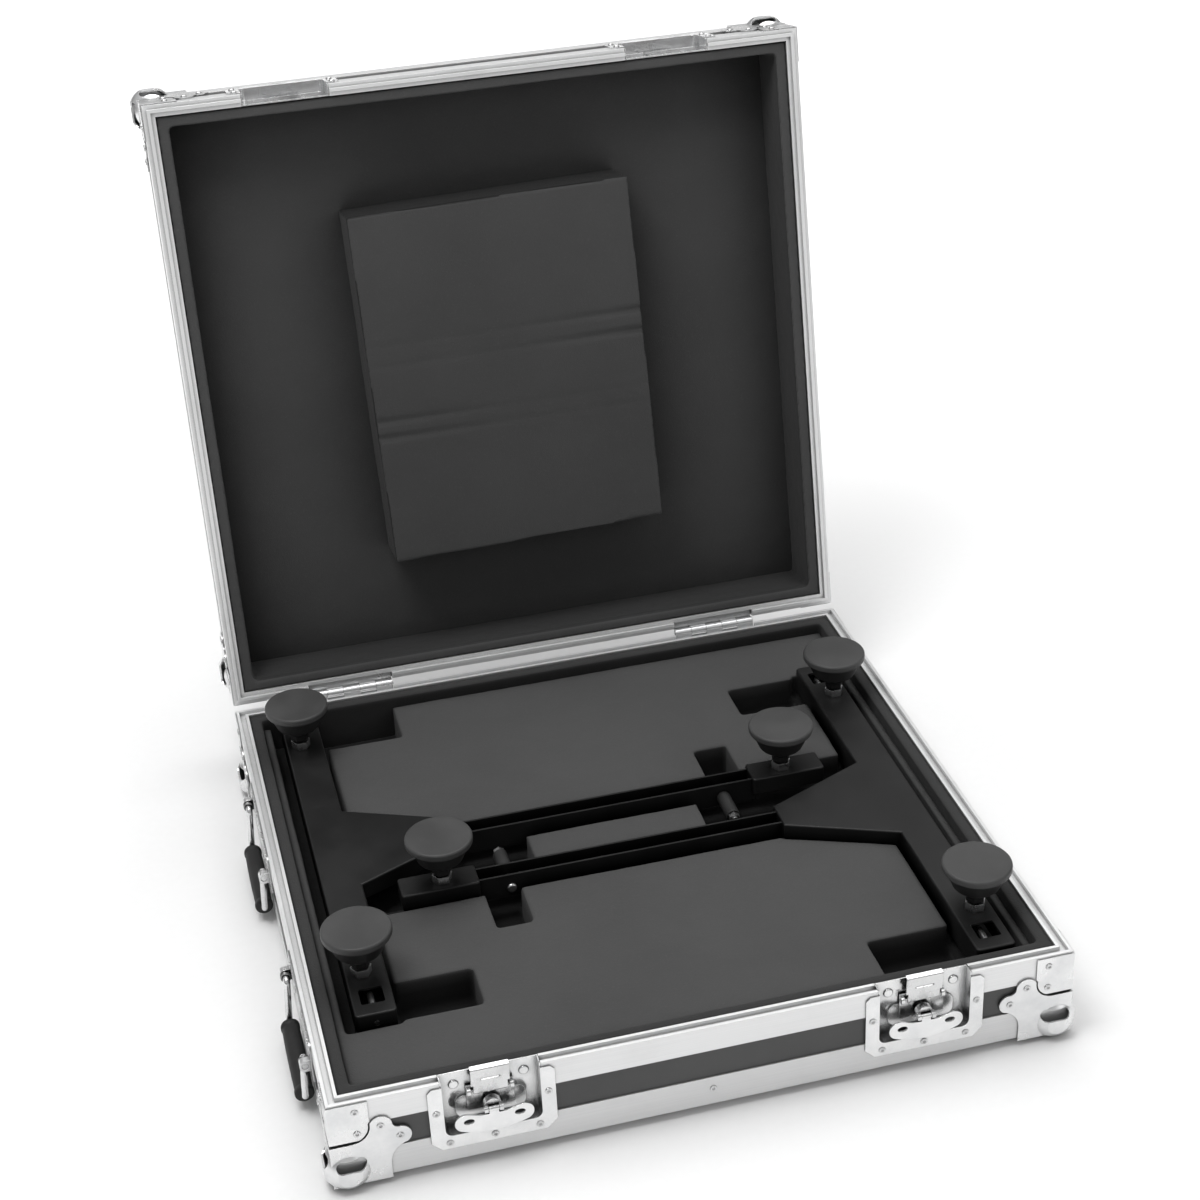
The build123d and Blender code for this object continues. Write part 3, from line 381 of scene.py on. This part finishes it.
# Dents that straps left in the lid block's face: place along y, side, depth, both in mm
BLOCK_DENTS = ((-47.5, 1, 3.0), (-25.5, 1, 3.4), (34.5, -1, 2.4), (52.5, -1, 2.8))
DENT_WIDE = 3.6 * MM
DENT_SLANT = 0.004
DENT_MIDDLE = 0.35          # a dent's strength halfway along, next to 1 at its side edge
DENT_FAINT = 0.34
DENT_REACH = 14 * MM        # how far behind the face the foam gives
CROWN = 0.9 * MM


def dent_block(piece):
    """Press the strap marks into the lid block, deepest at the side edge, and crown its face."""
    shut = [SHUT @ v.co for v in piece.data.vertices]
    face = min(p.z for p in shut)
    half_x = max(p.x for p in shut)
    half_y = max(p.y for p in shut)
    for vertex, p in zip(piece.data.vertices, shut):
        near = 1 - (p.z - face) / DENT_REACH
        if near <= 0:
            continue
        sink = 0.0
        for y, side, depth in BLOCK_DENTS:
            across = (p.y - y * MM + DENT_SLANT * p.x * side) / DENT_WIDE
            strength = DENT_MIDDLE + (1 - DENT_MIDDLE) * side * p.x / half_x
            along = max(DENT_FAINT, strength) ** 2
            sink += depth * MM * math.exp(-across * across) * along
        rim = max(abs(p.x) / half_x, abs(p.y) / half_y)
        sink += CROWN * rim ** 6
        p.z += sink * near
        vertex.co = OPEN @ p
    piece.data.update()


FINE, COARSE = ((2.2 * MM, 2.8 * MM))


def make_foam():
    """The base insert and lining, and the lid's lining, floor and block."""
    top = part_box("foam_insert")[1].z
    # painted shade darkens the insert into its pockets
    insert = foam("foam_base", 0.062, pocket_shade=(top - 3 * MM, top - 16 * MM))
    # the long reach spreads painted shade over the lid floor near its walls
    floor = foam("foam_lid", 0.048, shut=True, reach=90 * MM)
    strip = foam("foam_strip", 0.058, shut=True, walls=0.4)
    # strong painted shade on the block's sides
    block = foam("foam_block", 0.048, shut=True, walls=0.12)
    # the base lining, set darker than the lid's strips: painted shade along the base's walls
    edge = foam("foam_lining_shaded", 0.034)

    # CAD node, piece, voxel, easing, the skin's waves in mm, material, body
    pieces = (
        ("foam_insert", "insert_foam_soft", FINE, 1, ((90, 0.5), (14, 0.25)), insert, "base"),
        ("base_wall_lining", "base_lining_soft", COARSE, 2, ((60, 0.4), (12, 0.25)), edge, "base"),
        ("lid_wall_lining", "lid_lining_soft", COARSE, 2, ((70, 0.5), (12, 0.25)), strip, "lid"),
        ("lid_floor_foam", "lid_floor_soft", COARSE, 2, ((120, 0.9), (16, 0.3)), floor, "lid"),
        ("lid_foam_block", "lid_block_soft", FINE, 1, ((110, 0.8), (15, 0.25)), block, "lid"),
    )
    for node, name, voxel, relax, waves, material, body in pieces:
        piece = soft_copy(node, name, voxel, relax)
        if node == "lid_foam_block":
            dent_block(piece)
        uneven(piece, *((length * MM, height * MM) for length, height in waves))
        finish_foam(piece, material, body)


# ---------------------------------------------------------------- grips
GRIP_BORE = 3.4 * MM
GRIP_ROUND = 1.6 * MM       # radius of the end's rounded edge
GRIP_BEAD = 5.0 * MM        # length of the bead at each end
GRIP_NECK = 5.6 * MM
GRIP_BARREL = 7.0 * MM      # from the end to where the belly starts
GRIP_STEP = 0.7 * MM        # how far the barrel stands below the bead
GRIP_BELLY = 0.5 * MM
ROUND_STEPS, BELLY_STEPS = 6, 64


def lathe(name, profile, start, turns=48):
    """A closed ring of a profile of (along y, radius) points round an axis that runs along y."""
    mesh = bpy.data.meshes.new(name)
    shape = bmesh.new()
    rings = []
    for along, radius in profile:
        ring = []
        for step in range(turns):
            a = 2 * math.pi * step / turns
            offset = Vector((radius * math.cos(a), along, radius * math.sin(a)))
            ring.append(shape.verts.new(start + offset))
        rings.append(ring)
    for one, two in zip(rings, rings[1:] + rings[:1]):
        for i in range(turns):
            j = (i + 1) % turns
            shape.faces.new((one[i], one[j], two[j], two[i]))
    bmesh.ops.recalc_face_normals(shape, faces=shape.faces)
    shape.to_mesh(mesh)
    shape.free()
    piece = bpy.data.objects.new(name, mesh)
    scene.collection.objects.link(piece)
    return piece


def grip_profile(half, radius):
    """Bead, neck and slightly bellied barrel of a moulded grip; the ring closes by its bore."""
    end = [(half, GRIP_BORE)]
    for step in range(ROUND_STEPS + 1):
        a = math.pi / 2 * step / ROUND_STEPS
        end.append((half - GRIP_ROUND * (1 - math.cos(a)), radius - GRIP_ROUND * (1 - math.sin(a))))
    end += [(half - GRIP_BEAD, radius), (half - GRIP_NECK, radius - GRIP_STEP)]
    barrel = []
    for step in range(BELLY_STEPS + 1):
        t = 2 * step / BELLY_STEPS - 1
        belly = GRIP_BELLY * (1 - t * t)
        barrel.append((t * (half - GRIP_BARREL), radius - GRIP_STEP + belly))
    return [(-along, out) for along, out in end] + barrel + end[::-1]


def make_grips():
    """Four moulded rubber grips on the bails."""
    material = rubber("rubber_grip")
    for side in ("left", "right"):
        for along in ("rear", "front"):
            node = f"grip_{side}_{along}"
            low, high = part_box(node)
            centre = (low + high) / 2
            half = (high.y - low.y) / 2
            piece = lathe(node + "_soft", grip_profile(half, (high.x - low.x) / 2), centre)
            piece.data.materials.append(material)
            for polygon in piece.data.polygons:
                polygon.use_smooth = True
            piece.data.set_sharp_from_angle(angle=math.radians(50))
            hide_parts(node)
            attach(piece, f"bail_{side}_{along}")


# ---------------------------------------------------------------- CAD nodes' materials
def dress(material, *names):
    """Give CAD nodes a material; a name may end in * for every node that starts so."""
    for name in names:
        for node, piece in frame["nodes"].items():
            if node == name or (name.endswith("*") and node.startswith(name[:-1])):
                piece.data.materials.clear()
                piece.data.materials.append(material)


PAD_THICK = 8 * MM


def dress_frame():
    """Materials for the shell, hardware and contents."""
    dress(laminate("laminate_base", 0.058), "base_floor_panel", "base_front_panel",
          "base_rear_panel", "base_end_panels")
    dress(laminate("laminate_lid", 0.058, shut=True), "lid_top_panel", "lid_front_panel",
          "lid_rear_panel", "lid_end_panels")
    dress(extrusion("aluminium_rim", 0.84), "base_rim_extrusions")
    dress(extrusion("aluminium_angle", 0.72), "base_edge_angles")
    dress(extrusion("aluminium_lid", 0.84, shut=True), "lid_rim_extrusions", "lid_edge_angles")
    dress(plated("plated_corner", 0.84, 0.22), "base_ball_corners", "base_rim_braces",
          "handle_plates")
    dress(plated("plated_hinge", 0.84, 0.24, dark=0.5), "hinge_base_leaves")
    dress(plated("plated_dish", 0.86, 0.1, wave=0.8, reach=22 * MM), "latch_dishes")
    dress(plated("plated_wing", 0.86, 0.14), "latch_wing_*")
    dress(plated("plated_lid", 0.84, 0.22, shut=True), "lid_ball_corners", "lid_rim_braces")
    dress(plated("plated_lid_hinge", 0.84, 0.24, shut=True, dark=0.5), "hinge_lid_leaves")
    dress(plated("plated_keeper", 0.92, 0.1, shut=True, wave=0.8, reach=22 * MM, dark=0.75),
          "keeper_dishes")
    dress(plated("plated_rod", 0.8, 0.12), "bail_*")
    dress(turned_zinc("zinc_latch", 0.74, 0.16), "latch_spindle_*", "latch_slider_*",
          "latch_hook_*", "latch_seats", "keeper_bars")
    dress(turned_zinc("zinc_rivet", 0.72, 0.22), "base_rivets", "lid_rivets", "hinge_pins")
    # painted light: the nuts' zinc is set brighter than the latch's, with light painted shade, to
    # lift nuts that sit in shade
    dress(turned_zinc("zinc_nut", 0.9, 0.2, dark=0.6), "foot_lock_nuts", "stand_end_screws")
    dress(turned_zinc("zinc_pin", 0.6, 0.25), "stand_cross_pins")
    dress(spring_wire("spring_wire"), "handle_springs")
    pad_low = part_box("foot_left_arm")[1].z - PAD_THICK
    dress(powder("powder_stand", 0.010, 1.2 * MM, 0.42), "stand_frame_*")
    # painted shade on the foot under its pad
    dress(powder("powder_foot", 0.05, 0.9 * MM, 0.5, below=(pad_low, 0.3)),
          "foot_left_*", "foot_right_*")
    dress(powder("powder_spacer", 0.03, 0.9 * MM, 0.45), "stand_spacers")


# ---------------------------------------------------------------- studio
FLOOR_HALF = 20.0
FLOOR_GAP = 0.02 * MM
FLOOR_FADE = (0.5, 2.6)     # distances between which the floor starts to glow
FLOOR_GLOW = 0.75


def make_floor():
    """A plain pale floor under the ball corners, that brightens into the distance."""
    mesh = bpy.data.meshes.new("floor")
    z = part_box("base_ball_corners")[0].z - FLOOR_GAP
    signs = ((-1, -1), (1, -1), (1, 1), (-1, 1))
    corners = [(x * FLOOR_HALF, y * FLOOR_HALF, z) for x, y in signs]
    mesh.from_pydata(corners, [], [(0, 1, 2, 3)])
    floor = bpy.data.objects.new("floor", mesh)
    scene.collection.objects.link(floor)
    s = Shader("floor_paper", Roughness=0.85)
    fibre = s.noise(120, detail=4)
    s.set("Base Color", s.mix(fibre, grey(0.86), grey(0.89)))
    far = s.node("VectorMath", {0: s.place()}, operation="LENGTH").outputs["Value"]
    s.set("Emission Color", grey(1.0))
    s.set("Emission Strength", s.remap(far, *FLOOR_FADE, 0.0, FLOOR_GLOW))
    mesh.materials.append(s.material)


WORLD_STRENGTH = 0.5
# The room's brightness from straight down (0) to straight up (1), as the metal reflects it
WORLD_BANDS = ((0.0, 0.85), (0.49, 0.8), (0.53, 0.28), (0.62, 0.5), (0.75, 0.95), (1.0, 1.05))


def make_world():
    """A bright studio: white to the camera, banded for the metal to reflect."""
    world = bpy.data.worlds.new("studio")
    scene.world = world
    world.use_nodes = True
    tree = world.node_tree
    tree.nodes.clear()
    out = tree.nodes.new("ShaderNodeOutputWorld")
    back = tree.nodes.new("ShaderNodeBackground")
    ramp = tree.nodes.new("ShaderNodeValToRGB")
    split = tree.nodes.new("ShaderNodeSeparateXYZ")
    where = tree.nodes.new("ShaderNodeTexCoord")
    path = tree.nodes.new("ShaderNodeLightPath")
    mix = tree.nodes.new("ShaderNodeMix")
    mix.data_type = "RGBA"
    elements = ramp.color_ramp.elements
    while len(elements) < len(WORLD_BANDS):
        elements.new(0.5)
    for element, (at, value) in zip(elements, WORLD_BANDS):
        element.position = at
        element.color = grey(value)
    rise = tree.nodes.new("ShaderNodeMapRange")
    rise.inputs["From Min"].default_value = -1.0
    links = tree.links
    links.new(where.outputs["Generated"], split.inputs[0])
    links.new(split.outputs["Z"], rise.inputs["Value"])
    links.new(rise.outputs[0], ramp.inputs[0])
    links.new(path.outputs["Is Camera Ray"], mix.inputs[0])
    links.new(ramp.outputs[0], mix.inputs[6])
    mix.inputs[7].default_value = grey(1 / WORLD_STRENGTH)
    links.new(mix.outputs[2], back.inputs["Color"])
    back.inputs["Strength"].default_value = WORLD_STRENGTH
    links.new(back.outputs[0], out.inputs[0])


def softbox(name, place, target, width, height, watts):
    data = bpy.data.lights.new(name, "AREA")
    data.shape = "RECTANGLE"
    data.size = width
    data.size_y = height
    data.energy = watts
    lamp = bpy.data.objects.new(name, data)
    lamp.location = place
    lamp.rotation_euler = (Vector(target) - Vector(place)).to_track_quat("-Z", "Y").to_euler()
    scene.collection.objects.link(lamp)


# Name, place, target, width, height and watts: a key from the upper left, a wide light from
# above and behind, and a weak fill
LIGHTS = (
    ("key", (-0.8, -0.3, 2.6), (0, 0.1, 0.1), 1.1, 1.1, 34),
    ("top", (0.6, 0.9, 2.9), (0, 0.0, 0.0), 2.6, 2.0, 40),
    ("fill", (2.0, -2.0, 1.6), (0, 0, 0.2), 1.6, 1.2, 6),
)


LENS, SENSOR = 67.71, 36.0
EYE = (-0.4208, -1.7688, 1.4056)
PAN, TILT, ROLL = (math.radians(a) for a in (-13.2, -30.3, -2.86))


def make_camera():
    """The camera: panned from looking along +Y, tilted down, then rolled about its axis."""
    data = bpy.data.cameras.new("camera")
    data.lens = LENS
    data.sensor_width = SENSOR
    camera = bpy.data.objects.new("camera", data)
    turn = Matrix.Rotation(PAN, 4, "Z") @ Matrix.Rotation(math.pi / 2 + TILT, 4, "X")
    camera.matrix_world = Matrix.Translation(EYE) @ turn @ Matrix.Rotation(ROLL, 4, "Z")
    scene.collection.objects.link(camera)
    scene.camera = camera


scene.view_settings.view_transform = "Standard"
make_foam()
make_grips()
dress_frame()
make_floor()
make_world()
for light in LIGHTS:
    softbox(*light)
make_camera()
